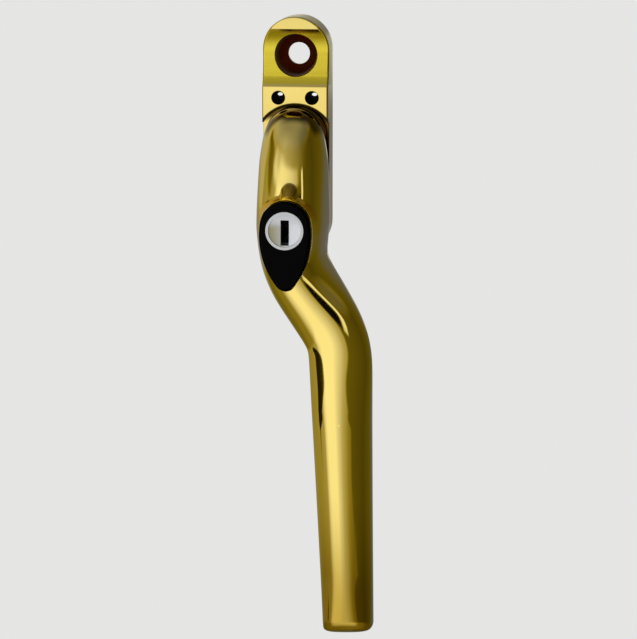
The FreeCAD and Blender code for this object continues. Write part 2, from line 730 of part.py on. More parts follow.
def dished_washer():
    """A spring washer turned from a slanting strip, between the clip and the index cam."""
    low = "clip_depth + clip_thickness"
    high = "chamber_depth - running_gap - cam_thickness"
    body = doc.addObject("PartDesign::Body", "disc_body")
    strip = sketch_on(body, "disc_strip", "YZ_Plane")
    near, far, thin, inner, outer = -1.4, -2.1, 0.3, 5.0, 6.5
    corners = [Vector(near, inner, 0), Vector(near - thin, inner, 0), Vector(far, outer, 0),
               Vector(far + thin, outer, 0)]
    for first, second in zip(corners, corners[1:] + corners[:1]):
        strip.addGeometry(Part.LineSegment(first, second))
    for line in range(4):
        strip.addConstraint(Sketcher.Constraint("Coincident", line, 2, (line + 1) % 4, 1))
    strip.addConstraint(Sketcher.Constraint("Horizontal", 0))
    strip.addConstraint(Sketcher.Constraint("Horizontal", 2))
    dimension(strip, Sketcher.Constraint("DistanceX", 0, 1, -1, 1, -near), low)
    dimension(strip, Sketcher.Constraint("DistanceX", 1, 2, -1, 1, -far), high)
    dimension(strip, Sketcher.Constraint("DistanceX", 0, 2, 0, 1, thin), "disc_spring_sheet")
    dimension(strip, Sketcher.Constraint("DistanceX", 1, 2, 2, 2, thin), "disc_spring_sheet")
    dimension(strip, Sketcher.Constraint("DistanceY", -1, 1, 0, 1, inner), "disc_spring_bore")
    dimension(strip, Sketcher.Constraint("DistanceY", -1, 1, 1, 2, outer), "clip_radius + 0.3")
    turned = body.newObject("PartDesign::Revolution", "disc_turned")
    turned.Profile = strip
    turned.ReferenceAxis = (strip, ["H_Axis"])
    turned.Angle = 360
    return body


def button_set():
    body = doc.addObject("PartDesign::Body", "button_body")
    outline = sketch_on(body, "button_outline", "XZ_Plane", "button_back")
    egg(outline, "0")
    solid = pad(body, "button_pad", outline, "button_front - button_back")
    doc.recompute()
    crown = body.newObject("PartDesign::Fillet", "button_crown")
    crown.Base = (solid, flat_edges(solid.Shape, size("button_front"), lambda edge: True))
    bind(crown, "Radius", "button_edge_radius")
    keep("push_button", cut("button_cut", body, [
        rod("button_bore", "barrel_radius", "0", "button_front + 1", "lock_drop")]))

    tail = "barrel_back"
    face_floor = "plug_face_depth - plug_face_thickness"
    keep("lock_barrel", cut("barrel_cut", rod("barrel_outer", "barrel_radius", tail, "plug_face_depth + barrel_rim", "lock_drop"), [
        rod("barrel_inner", "plug_radius + running_gap", "0", "plug_face_depth + barrel_rim + 1", "lock_drop"),
        rod("barrel_face", "plug_face_radius + running_gap", f"{face_floor} - running_gap", "plug_face_depth + barrel_rim + 1",
            "lock_drop")]))

    back = "barrel_back - carrier_thickness"
    keep("plunger_carrier", cut("carrier_cut", block("carrier_plate", "carrier_half_width", back, tail,
         "pocket_top + 0.3", "pocket_bottom - 0.3"), [
        rod("carrier_bore", "lock_cam_radius - 0.3", "0", "plug_face_depth + barrel_rim", "lock_drop"),
        rod("rivet_hole", "plunger_rivet_radius", "0", "plug_face_depth + barrel_rim", "plunger_drop")]))
    keep("lock_plunger", fuse("plunger_parts", [
        rod("plunger_pin", "plunger_radius", "plunger_tip", back, "plunger_drop"),
        rod("plunger_rivet", "plunger_rivet_radius", back, tail, "plunger_drop")]))


def return_spring():
    """A coil round the plunger, from the cap plate up to the carrier."""
    wire = size("spring_wire") / 2
    low = size("underside") + size("cap_plate_thickness") + wire
    high = size("barrel_back") - size("carrier_thickness") - wire
    turns, radius = size("spring_turns"), size("spring_radius")
    sections = []
    for step in range(int(turns * 12) + 1):
        share = step / (turns * 12)
        angle = 2 * math.pi * turns * share
        outward = Vector(math.cos(angle), 0, math.sin(angle))
        middle = outward * radius + Vector(0, -low - (high - low) * share, -size("plunger_drop"))
        sections.append(ring_poles(middle, outward, Vector(0, -1, 0), wire))
    thing = doc.addObject("Part::Feature", "return_coil")
    thing.Shape = skin(sections)
    keep("button_return_spring", thing)


def ring_poles(middle, across, upward, radius):
    """Poles of a circle as four quarter spans."""
    reach = radius * 0.5523
    spans = []
    for turn in range(4):
        along, side = [(across, upward), (upward, -across), (-across, -upward), (-upward, across)][turn]
        start, end = middle + along * radius, middle + side * radius
        spans.append([start, start + side * reach, end + along * reach, end])
    return spans


def plug_set():
    face_floor = "plug_face_depth - plug_face_thickness"
    dish = doc.addObject("Part::Sphere", "dish_ball")
    ball = "(plug_face_radius ^ 2 + dish_sag ^ 2) / (2 * dish_sag)"
    bind(dish, "Radius", ball)
    place(dish, "0", f"plug_face_depth - dish_sag + {ball}", "lock_drop")
    tail = "lock_cam_radius - 0.5"
    solid = fuse("plug_solid", [
        rod("plug_face", "plug_face_radius", face_floor, "plug_face_depth", "lock_drop"),
        rod("plug_core", "plug_radius", "barrel_back", face_floor, "lock_drop"),
        rod("plug_tail", tail, "barrel_back - carrier_thickness - lock_cam_stem", "barrel_back", "lock_drop")])
    middle = "lock_drop + keyway_shift"
    mouth = "lock_drop + key_mouth_shift"
    slots = [block("keyway", "keyway_width / 2", "plug_face_depth - keyway_length", "plug_face_depth + barrel_rim",
                   f"{middle} - keyway_height / 2", f"{middle} + keyway_height / 2"),
             block("key_mouth", "key_mouth_width / 2", "plug_face_depth - key_mouth_depth",
                   "plug_face_depth + barrel_rim", f"{mouth} - key_mouth_height / 2", f"{mouth} + key_mouth_height / 2")]
    for number in range(int(size("wafer_count"))):
        front = f"wafer_first - {number} * wafer_pitch"
        slots.append(block(f"wafer_slot_{number + 1}", "wafer_width / 2 + wafer_gap",
                           f"{front} - wafer_thickness - 2 * wafer_gap", front,
                           "lock_drop - plug_radius", "lock_drop + plug_radius"))
        wafer(number + 1, f"{front} - wafer_gap")
    keep("lock_plug", cut("plug_cut", solid, [dish] + slots))

    cam_top = "barrel_back - carrier_thickness - lock_cam_stem"
    cam_low = f"{cam_top} - lock_cam_thickness"
    keep("lock_cam", fuse("cam_parts", [
        rod("cam_disc", "lock_cam_radius", cam_low, cam_top, "lock_drop"),
        block("cam_tongue", "lock_cam_width / 2", cam_low, cam_top, "lock_drop", "lock_drop + lock_cam_reach")]))
    keep("cam_screw", rod("cam_screw_head", "lock_cam_radius - 0.9", f"{cam_low} - 0.7", cam_low, "lock_drop"))


def wafer(number, front):
    half = "wafer_height / 2"
    window = "keyway_height / 2 - 0.9"
    blank = block(f"wafer_blank_{number}", "wafer_width / 2", f"{front} - wafer_thickness", front,
                  f"lock_drop - {half}", f"lock_drop + {half}")
    keep(f"wafer_{number}", cut(f"wafer_cut_{number}", blank, [
        block(f"wafer_window_{number}", "keyway_width / 2", "barrel_back", "plug_face_depth + barrel_rim",
              f"lock_drop - {window}", f"lock_drop + {window}")]))


def lock_plates():
    seat = "step_half_width"
    back = "keeper_front - keeper_thickness"
    slot = "lock_cam_width / 2 + lock_cam_clearance"
    keep("keeper_plate", cut("keeper_cut", block("keeper_blank", seat, back, "keeper_front", "step_top",
         "step_bottom"), [
        rod("keeper_round", "lock_cam_radius + lock_cam_clearance", "0", "plug_face_depth + barrel_rim", "lock_drop"),
        block("keeper_slot", slot, "0", "plug_face_depth + barrel_rim", "lock_drop", "lock_drop + lock_cam_reach + 0.3"),
        rod("keeper_spring_hole", "spring_radius + spring_wire / 2 + 0.25", "0", "plug_face_depth + barrel_rim", "plunger_drop")]))
    keep("lever_cap_plate", cut("cap_cut", block("cap_blank", seat, "underside",
         "underside + cap_plate_thickness", "step_top", "step_bottom"), [
        rod("cap_hole", "plunger_radius + running_gap", "0", "plug_face_depth + barrel_rim", "plunger_drop")]))


def check_and_export():
    doc.recompute()
    for thing in doc.Objects:
        if "Invalid" in thing.State or "Error" in thing.State:
            raise RuntimeError(f"{thing.Name} failed: {thing.State}")
    for node, thing in parts.items():
        if thing.Shape.isNull() or not thing.Shape.isValid() or not thing.Shape.Solids:
            raise RuntimeError(f"{node} has no valid solid")
        print(f"{node}: {len(thing.Shape.Solids)} solid, {thing.Shape.Volume:.1f} mm3")
    os.makedirs("parts", exist_ok=True)
    for node, thing in parts.items():
        thing.Shape.exportStep(f"parts/{node}.step")


base_casting()
lever_casting()
spindle_set()
index_set()
washers()
button_set()
return_spring()
plug_set()
lock_plates()
check_and_export()
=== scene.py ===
import json
import math

import bmesh
import bpy
import numpy as np
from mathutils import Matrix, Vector
from mathutils.bvhtree import BVHTree

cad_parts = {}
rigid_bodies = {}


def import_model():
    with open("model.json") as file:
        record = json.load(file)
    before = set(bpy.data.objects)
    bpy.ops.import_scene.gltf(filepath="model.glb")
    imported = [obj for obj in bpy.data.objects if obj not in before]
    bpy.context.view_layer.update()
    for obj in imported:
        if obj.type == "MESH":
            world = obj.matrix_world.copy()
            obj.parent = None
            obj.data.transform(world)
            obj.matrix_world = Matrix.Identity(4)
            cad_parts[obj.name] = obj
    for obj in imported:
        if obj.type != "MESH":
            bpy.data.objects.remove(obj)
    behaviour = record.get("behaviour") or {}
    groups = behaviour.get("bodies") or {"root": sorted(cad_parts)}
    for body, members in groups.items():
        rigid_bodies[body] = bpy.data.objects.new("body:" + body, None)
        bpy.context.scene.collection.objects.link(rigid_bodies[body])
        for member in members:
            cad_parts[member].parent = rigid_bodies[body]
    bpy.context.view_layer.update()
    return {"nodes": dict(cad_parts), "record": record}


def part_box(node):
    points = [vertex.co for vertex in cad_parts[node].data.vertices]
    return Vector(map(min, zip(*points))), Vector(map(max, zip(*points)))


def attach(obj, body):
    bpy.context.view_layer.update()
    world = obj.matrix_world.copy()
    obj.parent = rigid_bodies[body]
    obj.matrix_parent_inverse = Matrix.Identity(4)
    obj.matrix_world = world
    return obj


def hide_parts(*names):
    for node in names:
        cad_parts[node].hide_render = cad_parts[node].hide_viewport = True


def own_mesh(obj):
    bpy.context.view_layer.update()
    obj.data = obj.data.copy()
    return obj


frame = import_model()
print("frame loaded:", len(frame["nodes"]), "solids")

millimetre = 0.001
view = {
    "azimuth": 6.0,          # degrees, towards the crank's side
    "elevation": 10.0,
    "distance": 0.700,
    "focalPixels": 2611.0,
    "pixelsWide": 637.0,
    "sensorWide": 36,        # millimetres
    "clip": (0.01, 50),
    "slideRight": -0.00499,  # metres across the picture
    "slideUp": 0.0500,
}


def placeCamera():
    azimuth, elevation = math.radians(view["azimuth"]), math.radians(view["elevation"])
    ahead = Vector((-math.sin(azimuth) * math.cos(elevation), math.cos(azimuth) * math.cos(elevation),
                    -math.sin(elevation)))
    right = Vector((math.cos(azimuth), math.sin(azimuth), 0))
    up = right.cross(ahead)
    data = bpy.data.cameras.new("photoCamera")
    data.sensor_fit = "HORIZONTAL"
    data.sensor_width = view["sensorWide"]
    data.lens = view["sensorWide"] * view["focalPixels"] / view["pixelsWide"]
    data.clip_start, data.clip_end = view["clip"]
    camera = bpy.data.objects.new("photoCamera", data)
    camera.location = -(ahead * view["distance"] + right * view["slideRight"] + up * view["slideUp"])
    camera.rotation_euler = ahead.to_track_quat("-Z", "Y").to_euler()
    bpy.context.collection.objects.link(camera)
    bpy.context.scene.camera = camera


class Signal:
    # an output socket that can be added and multiplied like a number
    def __init__(self, tree, socket=None):
        self.tree = tree
        self.socket = socket

    def node(self, kind, settings=None, values=None, output=0):
        made = self.tree.nodes.new(kind)
        for name, value in (settings or {}).items():
            if name == "stops":
                while len(made.color_ramp.elements) < len(value):
                    made.color_ramp.elements.new(0.5)
                for element, (position, colour) in zip(made.color_ramp.elements, value):
                    element.position = position
                    element.color = (*colour, 1)
            else:
                setattr(made, name, value)
        for name, value in (values or {}).items():
            if isinstance(value, Signal):
                self.tree.links.new(value.socket, made.inputs[name])
            else:
                made.inputs[name].default_value = value
        return Signal(self.tree, made.outputs[output])

    def math(self, operation, *values):
        return self.node("ShaderNodeMath", {"operation": operation}, dict(enumerate(values)))

    def vector(self, operation, *values):
        return self.node("ShaderNodeVectorMath", {"operation": operation}, dict(enumerate(values)))

    def blend(self, first, second):
        # colour between two colours, with this signal as the factor
        return self.node("ShaderNodeMix", {"data_type": "RGBA"}, {0: self, 6: first, 7: second}, 2)

    def step(self, start, end, low=0.0, high=1.0):
        return self.node("ShaderNodeMapRange", {"interpolation_type": "SMOOTHSTEP"},
                         {"Value": self, "From Min": start, "From Max": end, "To Min": low, "To Max": high})

    def __add__(self, other):
        return self.math("ADD", self, other)

    def __sub__(self, other):
        return self.math("SUBTRACT", self, other)

    def __rsub__(self, other):
        return self.math("SUBTRACT", other, self)

    def __mul__(self, other):
        return self.math("MULTIPLY", self, other)

    def __truediv__(self, other):
        return self.math("DIVIDE", self, other)

    __radd__ = __add__
    __rmul__ = __mul__


def newTree(owner):
    owner.use_nodes = True
    owner.node_tree.nodes.clear()
    return Signal(owner.node_tree)


room = {
    "backdrop": 0.784,            # pale grey behind the object
    "backdropHalf": 5.0,          # degrees to each side that metal shows of it
    "backdropSoft": 3.0,
    # brightness by azimuth, 0 is in front and + is the crank's side
    "eyeLevel": ((-180, 0.28), (-140, 0.30), (-98, 0.34), (-62, 0.42), (-54, 0.84), (-44, 1.07), (-17, 1.07),
                 (-8, 0.79), (4, 0.5), (12, 0.42), (22, 0.31), (30, 0.25), (45, 0.21), (180, 0.28)),
    "beyondPanel": ((-180, 0.28), (0, 0.14), (40, 0.11), (100, 0.075), (150, 0.12), (168, 0.12), (180, 0.28)),
    "ceiling": ((-180, 0.02), (-145, 0.08), (-122, 0.46), (-60, 0.40), (-25, 0.48), (10, 0.32), (50, 0.16),
                (90, 0.14), (125, 0.22), (145, 0.10), (180, 0.02)),
    "ground": ((-180, 0.17), (-128, 0.17), (-90, 0.26), (-60, 0.24), (0, 0.30), (47, 0.28), (84, 0.22),
               (103, 0.15), (180, 0.12)),
    "ceilingFrom": (34, 44),      # elevations between which the walls turn into the ceiling
    "groundFrom": (-14.5, -22),
    "warmth": (1.0, 0.83, 0.07, 1),
    "warmBelow": (0.15, 0.75),    # brightness, elevation and azimuth at which the light turns neutral
    "neutralAbove": (38, 55),
    "neutralBehind": (145, 170),
}

# patches are a centre, a half width and a soft edge in degrees, steps run from one elevation or azimuth to another
leftWall = {"across": (-140, 32, 8), "above": (-8, 2), "gain": 0.18}
panel = {"edge": 25.0, "lean": 0.9, "soft": 3.5, "underTable": (-13.5, -17.5, 0.0, 45.0)}
doorway = {
    "west": ((-16, 87), (-9, 82), (-5, 77), (0, 70.5), (5, 64), (10, 57)),   # elevation, then azimuth
    "half": ((-16, 2), (-13, 6), (-9, 9.5), (0, 10), (10, 12.5)),
    "soft": 2.0, "foot": (-16.5, -14.5), "head": (24, 15), "dark": 0.96,
}
cornice = {"up": (30, 5.5, 3), "across": (-70, 38, 7), "dark": 0.62}
overhead = {"light": 0.27, "dark": 0.04, "ahead": (-0.05, 0.3), "right": (0.1, 0.8, 1.0, 0.5), "from": (46, 80)}
topSlot = {"up": (39.5, 2.6, 1.2), "across": (-4, 26, 8), "light": (-20, 25, 1.0, 0.5)}
lamp = {
    "lean": ((10, 15), (14, 20), (20, 27), (26, 33), (32, 38), (44, 41)),
    "half": 4.3, "soft": 1.2, "foot": (17, 19.5), "head": (40.5, 38.5), "light": (16, 26, 0.6, 0.95),
    "gapAway": 17.5, "gapHalf": 11.5, "gapRight": (3, 5.5), "gapFoot": (17.5, 19), "gapHead": (34, 31),
    "gapDark": 0.97,
}
mirrored = {"left": (-75, -35), "right": (45, 15), "fades": (-22, -62, 0.62, 0.0)}
litWindow = {"across": (-6.5, 2.5, 2.0), "up": (-4.8, 1.5, 1.5), "light": 1.0}
rightWall = {"across": (174, 5, 2), "above": (-5.5, -4.0), "below": (4, 1), "light": 0.5}


def curve(signal, stops):
    # a smooth table: the value at a signal between the first and last stops
    low, high = stops[0][0], stops[-1][0]
    top = max(level for _, level in stops)
    ramp = [((at - low) / (high - low), (level / top,) * 3) for at, level in stops]
    return signal.node("ShaderNodeValToRGB", {"stops": ramp}, {"Fac": (signal - low) / (high - low)}) * top


def band(value, centre, half, soft):
    # 1 within a distance of the centre, falling to 0 over a soft edge
    away = value.math("ABSOLUTE", value - centre)
    return (away - half).step(soft, -soft)


def axes(s, output=3):
    # x, y and z of the object's coordinates, or of another kind
    place = s.node("ShaderNodeTexCoord", output=output)
    split = s.node("ShaderNodeSeparateXYZ", None, {0: place}).socket.node
    return [Signal(s.tree, side) for side in split.outputs]


def wallLight(azimuth, elevation):
    light = curve(azimuth, room["eyeLevel"])
    # left wall is paler above the table line
    light = light + band(azimuth, *leftWall["across"]) * elevation.step(*leftWall["above"]) * leftWall["gain"]
    # the front panel's right edge leans, and runs out over the table
    edge = panel["edge"] - elevation * panel["lean"] + elevation.step(*panel["underTable"])
    beyond = (azimuth - edge).step(-panel["soft"], panel["soft"])
    light = light + beyond * (curve(azimuth, room["beyondPanel"]) - light)
    # doorway at the panel's left
    centre = 0.0 - curve(elevation, doorway["west"])
    door = band(azimuth, centre, curve(elevation, doorway["half"]), doorway["soft"])
    door = door * elevation.step(*doorway["foot"]) * elevation.step(*doorway["head"])
    light = light * (1.0 - door * doorway["dark"])
    # shadowed edge above the panel's left part
    return light * (1.0 - band(elevation, *cornice["up"]) * band(azimuth, *cornice["across"]) * cornice["dark"])


def lampLight(light, azimuth, elevation):
    # a thin upright lamp at the right, with a dark gap between it and the panel
    lean = curve(elevation, lamp["lean"])
    shine = band(azimuth, lean, lamp["half"], lamp["soft"]) * elevation.step(*lamp["foot"])
    gap = band(azimuth, lean - lamp["gapAway"], lamp["gapHalf"], lamp["soft"]) * azimuth.step(*lamp["gapRight"])
    gap = gap * elevation.step(*lamp["gapFoot"]) * elevation.step(*lamp["gapHead"])
    light = light * (1.0 - gap * lamp["gapDark"])
    return light + shine * elevation.step(*lamp["head"]) * (elevation.step(*lamp["light"]) - light)


def lightRoom():
    world = bpy.data.worlds.new("studio")
    bpy.context.scene.world = world
    s = newTree(world)
    x, y, z = axes(s, 0)
    azimuth = s.math("ARCTAN2", x, 0.0 - y) * (180 / math.pi)
    elevation = s.math("ARCSINE", z) * (180 / math.pi)

    light = wallLight(azimuth, elevation)
    light = light + elevation.step(*room["ceilingFrom"]) * (curve(azimuth, room["ceiling"]) - light)
    above = y.step(*overhead["ahead"], overhead["light"], overhead["dark"]) * x.step(*overhead["right"])
    light = light + elevation.step(*overhead["from"]) * (above - light)
    # bright slot above the front panel
    slot = band(elevation, *topSlot["up"]) * band(azimuth, *topSlot["across"])
    light = light + slot * (azimuth.step(*topSlot["light"]) - light)
    light = lampLight(light, azimuth, elevation)
    # the bright front panel is mirrored in the table below it
    ground = curve(azimuth, room["ground"])
    mirror = azimuth.step(*mirrored["left"]) * azimuth.step(*mirrored["right"])
    mirror = mirror * elevation.step(*mirrored["fades"])
    light = light + elevation.step(*room["groundFrom"]) * (ground + mirror - light)
    # the window that the flat faces turned to the camera show
    pane = band(azimuth, *litWindow["across"]) * band(elevation, *litWindow["up"])
    light = light + pane * (litWindow["light"] - light)
    # pale wall that the base's right side shows
    wall = band(azimuth, *rightWall["across"]) * elevation.step(*rightWall["above"])
    light = light + wall * elevation.step(*rightWall["below"]) * (rightWall["light"] - light)

    # dim parts of the room are warmer than its lamps
    neutral = (1, 1, 1, 1)
    colour = light.step(*room["warmBelow"]).blend(room["warmth"], neutral)
    colour = elevation.step(*room["neutralAbove"]).blend(colour, neutral)
    colour = s.math("ABSOLUTE", azimuth).step(*room["neutralBehind"]).blend(colour, neutral)
    away = math.radians(view["azimuth"])
    facing = x * -math.sin(away) + y * math.cos(away)
    outer, inner = (math.cos(math.radians(room["backdropHalf"] + side * room["backdropSoft"])) for side in (1, -1))
    backdrop = facing.step(outer, inner)
    light = light + backdrop * (room["backdrop"] - light)
    camera = s.node("ShaderNodeLightPath")
    light = light + camera * (room["backdrop"] - light)
    colour = s.math("MAXIMUM", backdrop, camera).blend(colour, neutral)
    glow = s.node("ShaderNodeBackground", None, {"Color": colour, "Strength": light})
    out = s.tree.nodes.new("ShaderNodeOutputWorld")
    s.tree.links.new(glow.socket, out.inputs["Surface"])


placeCamera()
lightRoom()
bpy.context.scene.view_settings.view_transform = "Standard"
print("camera and room placed")


goldFinish = {
    "colour": (0.93, 0.73, 0.21, 1), "deeper": (0.915, 0.71, 0.195, 1), "roughness": 0.06, "spread": 0.012,
    "polishScale": 180, "lacquerScale": 35, "coat": 0.2, "coatRoughness": 0.03,
    "cloudDetail": 3.0, "cloudFrom": 0.35, "cloudTo": 0.65,
    "gripEnd": (0.56, 0.38, 0.05, 1), "gripEndUp": (-0.088, -0.122),
}
# each mask is a round (across, drop, radius, soft edge) or a step between two places, in metres
# painted reflections on the lever: dark on the head's top, deeper orange and dark brown round the collar
leverTones = {
    "headTopReflection": (0.14, 0.08, 0.01, 1), "headRound": (0, 0, 0.0062, 0.0006), "headUp": (0.0005, 0.003),
    "headDepth": (-0.0245, -0.0225),
    "collarReflection": (0.80, 0.47, 0.02, 1), "collarDepth": (-0.0285, -0.0290),
    "fillet": (0, 0.0206, 0.0079, 0.0004), "filletUp": (-0.021, -0.018),
    "flankLeft": (-0.0048, -0.0064), "flankFoot": (-0.036, -0.032), "flankHead": (-0.015, -0.019),
    "nose": (0.36, 0.22, 0.02, 1), "noseRound": (0.0007, 0.0118, 0.0019, 0.0003),
}
# painted tones on the base: reflection in the scoop, lip and plateau, shade in the screw hole and small holes, a
# highlight in each small hole
baseTones = {
    "scoop": (0.84, 0.68, 0.05, 1), "scoopRoughness": 0.15, "scoopFront": (-0.0113, -0.0108),
    "scoopBack": (-0.0012, -0.0032), "scoopFoot": (0.0131, 0.0139),
    "screwHole": (0.24, 0.08, 0.008, 1), "holeRoughness": 0.22, "screwRound": (0, -0.0215, 0.0056),
    "screwBack": (-0.0003, -0.0009),
    "pegHoleShade": (0.003, 0.003, 0.003, 1), "pegBack": (-0.0048, -0.0053),
    "pegRounds": ((-0.00445, -0.01045, 0.00186), (0.00445, -0.01045, 0.00186)),
    "glint": (0.95, 0.95, 0.9, 1), "glintFront": (-0.0062, -0.0057),
    "glintRounds": ((-0.00458, -0.01092, 0.00066, 0.0001, 1.6), (0.00456, -0.01090, 0.00066, 0.0001, 1.6)),
    "lip": (0.17, 0.125, 0.008, 1), "lipRoughness": 0.32, "lipMetal": 0.3, "lipEdge": (0.5, 0.45, 0.05),
    "lipRound": (0, 0.0021, 0.01085, 0.0005), "lipUp": (-0.004, -0.002), "lipFront": (-0.0116, -0.0114),
    "lipBack": (-0.0105, -0.0109),
    "plateau": (0.12, 0.065, 0.004, 1), "plateauRound": (0, 0.0021, 0.0112, 0.0002),
    "plateauUp": (0.0035, 0.0055), "plateauRight": (0.0050, 0.0062), "plateauFront": (-0.0111, -0.0108),
    "plateauBack": (-0.0080, -0.0083),
}
blackFinish = {"colour": (0.0003, 0.0003, 0.0003, 1), "roughness": 0.1, "spread": 0.015, "scale": 300,
               "specular": 0.04}
nickelFinish = {"colour": (0.82, 0.84, 0.90, 1), "roughness": 0.2, "spread": 0.03, "scale": 900, "metallic": 0.6}
steelFinish = {"colour": (0.62, 0.62, 0.60, 1), "roughness": 0.28, "spread": 0.05, "scale": 700}
brassFinish = {"colour": (0.30, 0.20, 0.08, 1), "roughness": 0.3, "spread": 0.05, "scale": 900}
acetalFinish = {"colour": (0.80, 0.79, 0.74, 1), "roughness": 0.45, "spread": 0.04, "scale": 500}
# painted shade: black inside the key slot
keySlotShade = {"colour": (0.004, 0.004, 0.004, 1), "wide": (0.00112, 0.00106), "tall": (0.00334, 0.00326),
           "drop": 0.0221, "depth": (-0.03545, -0.0350)}


def finish(name, colour, roughness, metallic=0.0, coat=0.0, specular=0.5):
    material = bpy.data.materials.new(name)
    s = newTree(material)
    varied = {"Base Color": colour, "Roughness": roughness, "Metallic": metallic, "Coat Weight": coat}
    values = {socket: value(s) if callable(value) else value for socket, value in varied.items()}
    values["Coat Roughness"] = goldFinish["coatRoughness"]
    values["Specular IOR Level"] = specular
    shader = s.node("ShaderNodeBsdfPrincipled", None, values)
    out = s.tree.nodes.new("ShaderNodeOutputMaterial")
    s.tree.links.new(shader.socket, out.inputs["Surface"])
    return material


def noise(s, scale):
    place = s.node("ShaderNodeTexCoord", output=3)
    spots = s.node("ShaderNodeTexNoise", None,
                   {"Vector": place, "Scale": scale, "Detail": goldFinish["cloudDetail"]})
    return lambda low, high: spots.step(goldFinish["cloudFrom"], goldFinish["cloudTo"], low, high)


def cloudy(base, spread, scale):
    return lambda s: noise(s, scale)(base - spread, base + spread)


def within(s, across, drop, radius, soft=0.00006, flatter=1.0):
    # 1 inside a circle that is seen from the front, or inside a flatter oval
    place = s.node("ShaderNodeTexCoord", output=3)
    flat = s.vector("MULTIPLY", s.vector("SUBTRACT", place, (across, 0, -drop)), (1, 0, flatter))
    distance = s.node("ShaderNodeVectorMath", {"operation": "LENGTH"}, {0: flat}, 1)
    return distance.step(radius + soft, radius - soft)


def goldColour(s):
    # the lacquer varies a little over the casting, and the colour turns darker and warmer towards the grip's end
    lacquer = noise(s, goldFinish["lacquerScale"])(0.0, 1.0).blend(goldFinish["colour"], goldFinish["deeper"])
    return axes(s)[2].step(*goldFinish["gripEndUp"]).blend(lacquer, goldFinish["gripEnd"])


def leverColour(s):
    tone = leverTones
    x, y, z = axes(s)
    # painted reflection: the top of the head is painted dark brown, as if it mirrored only the dark lip
    top = (1.0 - within(s, *tone["headRound"])) * z.step(*tone["headUp"]) * y.step(*tone["headDepth"])
    colour = top.blend(goldColour(s), tone["headTopReflection"])
    # painted reflection: a deeper orange round the top of the collar and on its left flank, and dark brown on its
    # nose
    near = y.step(*tone["collarDepth"])
    fillet = within(s, *tone["fillet"]) * z.step(*tone["filletUp"]) * near
    flank = x.step(*tone["flankLeft"]) * z.step(*tone["flankFoot"]) * z.step(*tone["flankHead"]) * near
    colour = s.math("MAXIMUM", fillet, flank).blend(colour, tone["collarReflection"])
    return (within(s, *tone["noseRound"]) * near).blend(colour, tone["nose"])


def scoopMask(s):
    _, y, z = axes(s)
    return y.step(*baseTones["scoopFront"]) * z.step(*baseTones["scoopFoot"]) * y.step(*baseTones["scoopBack"])


def pegHoles(s):
    left, right = (within(s, *place) for place in baseTones["pegRounds"])
    return (left + right) * axes(s)[1].step(*baseTones["pegBack"])


def screwHole(s):
    return within(s, *baseTones["screwRound"]) * axes(s)[1].step(*baseTones["screwBack"])


def lipMask(s):
    # the chamfer of the lip round the lever's head
    _, y, z = axes(s)
    chamfer = band(within(s, *baseTones["lipRound"]), *baseTones["lipEdge"]) * y.step(*baseTones["lipFront"])
    return chamfer * z.step(*baseTones["lipUp"]) * y.step(*baseTones["lipBack"])


def baseColour(s):
    # painted reflection: a deeper yellow in the scoop; painted shade: brown in the screw hole and black in the
    # small holes
    tone = baseTones
    x, y, z = axes(s)
    colour = scoopMask(s).blend(goldColour(s), tone["scoop"])
    # painted shade: the screw hole's inside is brown
    colour = screwHole(s).blend(colour, tone["screwHole"])
    # the lip is rougher and less metallic, and painted dark olive in place of its reflection
    colour = lipMask(s).blend(colour, tone["lip"])
    # painted reflection: the plateau inside the lip is painted brown round the lever's head
    nearby = s.math("MAXIMUM", z.step(*tone["plateauUp"]), x.step(*tone["plateauRight"]))
    plateau = within(s, *tone["plateauRound"]) * y.step(*tone["plateauFront"]) * nearby
    colour = (plateau * y.step(*tone["plateauBack"])).blend(colour, tone["plateau"])
    # painted shade: the small holes are black inside
    colour = pegHoles(s).blend(colour, tone["pegHoleShade"])
    # painted highlight: a white glint is painted at the bottom of each small hole
    left, right = (within(s, *place) for place in tone["glintRounds"])
    glint = (left + right) * y.step(*tone["glintFront"]) * y.step(*tone["pegBack"])
    return glint.blend(colour, tone["glint"])


def baseRoughness(s):
    polish = cloudy(goldFinish["roughness"], goldFinish["spread"], goldFinish["polishScale"])(s)
    hole = screwHole(s)
    polish = polish + lipMask(s) * baseTones["lipRoughness"]
    return polish + (1.0 - hole) * scoopMask(s) * baseTones["scoopRoughness"] + hole * baseTones["holeRoughness"]


def baseMetal(s):
    return 1.0 - lipMask(s) * (1.0 - baseTones["lipMetal"])


def baseCoat(s):
    return (1.0 - pegHoles(s)) * (1.0 - screwHole(s)) * goldFinish["coat"]


def slotShadeColour(s, colour):
    # painted shade: the inside of the key slot is painted black
    x, y, z = axes(s)
    slot = s.math("ABSOLUTE", x).step(*keySlotShade["wide"])
    slot = slot * s.math("ABSOLUTE", z + keySlotShade["drop"]).step(*keySlotShade["tall"]) * y.step(*keySlotShade["depth"])
    return slot.blend(colour, keySlotShade["colour"])


def plainFinish(name, made, metallic, colour=None):
    rough = cloudy(made["roughness"], made["spread"], made["scale"])
    return finish(name, colour or made["colour"], rough, metallic, specular=made.get("specular", 0.5))


